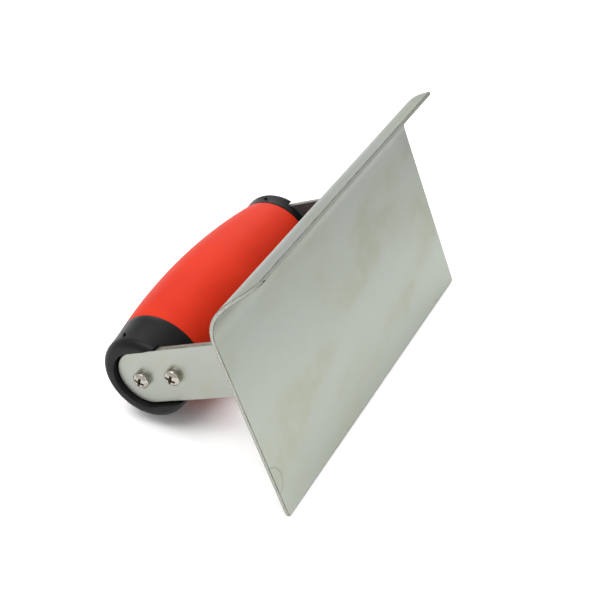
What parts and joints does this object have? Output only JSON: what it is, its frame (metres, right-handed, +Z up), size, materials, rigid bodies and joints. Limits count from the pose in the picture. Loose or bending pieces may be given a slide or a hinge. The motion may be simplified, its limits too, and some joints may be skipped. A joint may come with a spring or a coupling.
{
  "type": "corner trowel",
  "caption": "Plastering corner trowel: folded steel blade with a curved lip, steel U bracket and barrel soft-grip handle with screwed black end caps.",
  "frame": {"origin": "centre of the base of the bounding box, with the tool lying on the long free edge of its blade and on the middle of its grip, as in the picture", "axes": "+Z up as it lies, +Y along the blade and the handle from the end with the rounded lip corner to the other end, +X from the handle towards the blade"},
  "size_m": [0.0926, 0.152, 0.0881],
  "materials": {
    "blade_steel": "dull rolled sheet with an oily film",
    "bracket_steel": "satin",
    "black_plastic": "satin moulded",
    "red_rubber": "soft matte",
    "screw_steel": "bright plated"
  },
  "bodies": {
    "root": {"blade": "blade_steel", "bracket": "bracket_steel", "handle_core": "black_plastic", "grip_sleeve": "red_rubber", "near_end_cap": "black_plastic", "far_end_cap": "black_plastic", "near_outer_screw": "screw_steel", "near_inner_screw": "screw_steel", "far_outer_screw": "screw_steel", "far_inner_screw": "screw_steel"}
  },
  "joints": []
}
